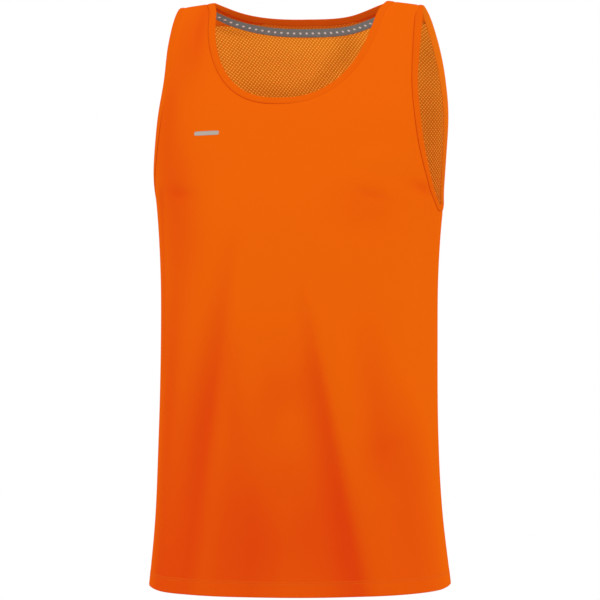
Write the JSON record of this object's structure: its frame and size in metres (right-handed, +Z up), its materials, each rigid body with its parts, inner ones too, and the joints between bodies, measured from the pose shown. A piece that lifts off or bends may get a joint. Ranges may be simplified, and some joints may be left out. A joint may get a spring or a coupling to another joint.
{
  "type": "running singlet",
  "caption": "Sleeveless running singlet with a smooth knit front, an open mesh back, bound neck and armholes, a neck tape and a turned hem, filled out as worn with no wearer.",
  "frame": {"origin": "midway between the two straps, at the height of their ridges, where the wearer's shoulders hold them", "axes": "+X to the wearer's left, +Y to the wearer's back, +Z up; the wearer faces -Y"},
  "size_m": [0.3714, 0.2429, 0.7098],
  "materials": {
    "smooth_knit": "matt smooth polyester knit",
    "mesh_knit": "matt open mesh polyester knit",
    "binding_knit": "matt folded knit binding",
    "neck_tape_weave": "matt grey woven tape"
  },
  "bodies": {
    "root": {"front_panel": "smooth_knit", "back_panel": "mesh_knit", "neck_binding": "binding_knit", "armhole_binding_left": "binding_knit", "armhole_binding_right": "binding_knit", "neck_tape": "neck_tape_weave"}
  },
  "joints": []
}
